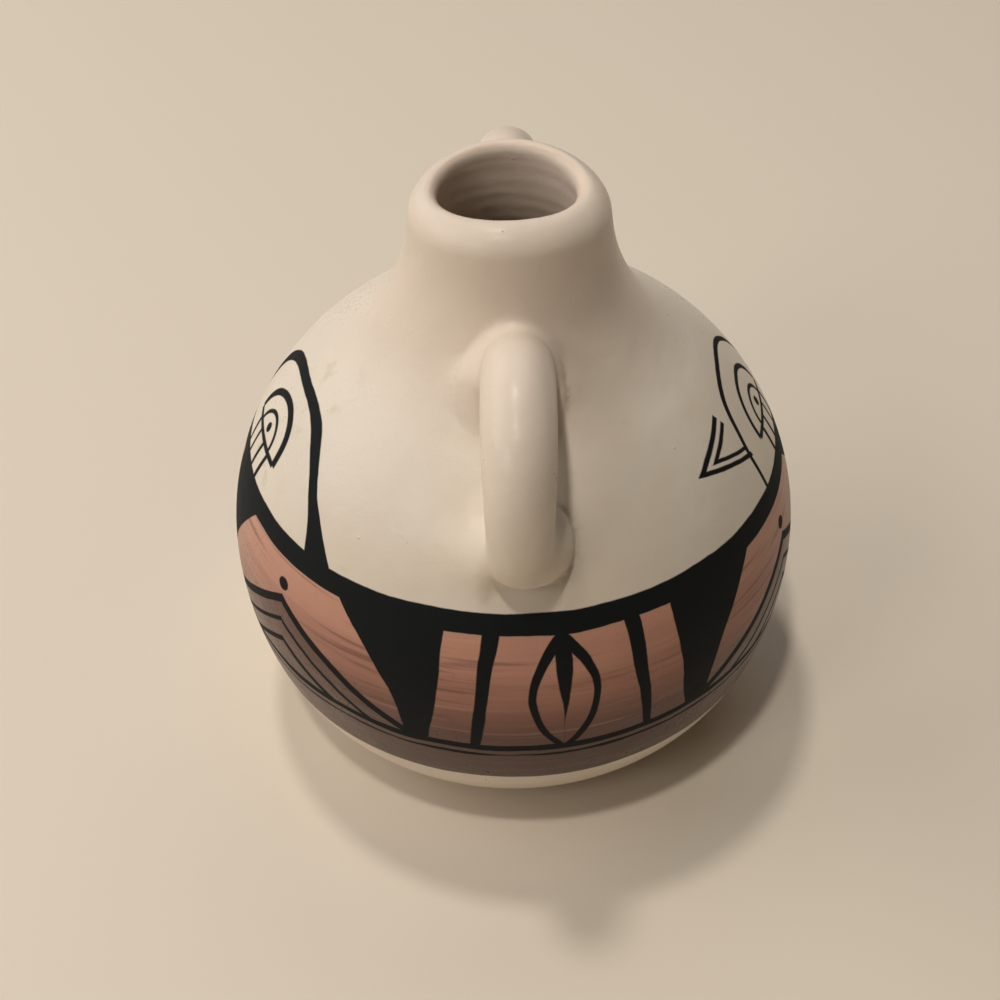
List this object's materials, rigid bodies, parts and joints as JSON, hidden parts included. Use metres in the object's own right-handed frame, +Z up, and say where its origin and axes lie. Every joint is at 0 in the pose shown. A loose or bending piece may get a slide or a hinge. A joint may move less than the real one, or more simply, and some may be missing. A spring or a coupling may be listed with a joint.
{
  "type": "pottery vase",
  "caption": "Small round-bellied hand-made clay vase with a short narrow neck and a loop handle on each side of the shoulder, painted with a patterned band.",
  "frame": {"origin": "centre of the foot, on the surface that the vase stands on", "axes": "+Z up along the pot's axis, -Y towards the front handle, +Y towards the back handle, +X to the right as seen from the front"},
  "size_m": [0.1, 0.1016, 0.1048],
  "materials": {
    "painted_clay": "matte"
  },
  "bodies": {
    "root": {"vase": "painted_clay"}
  },
  "joints": []
}
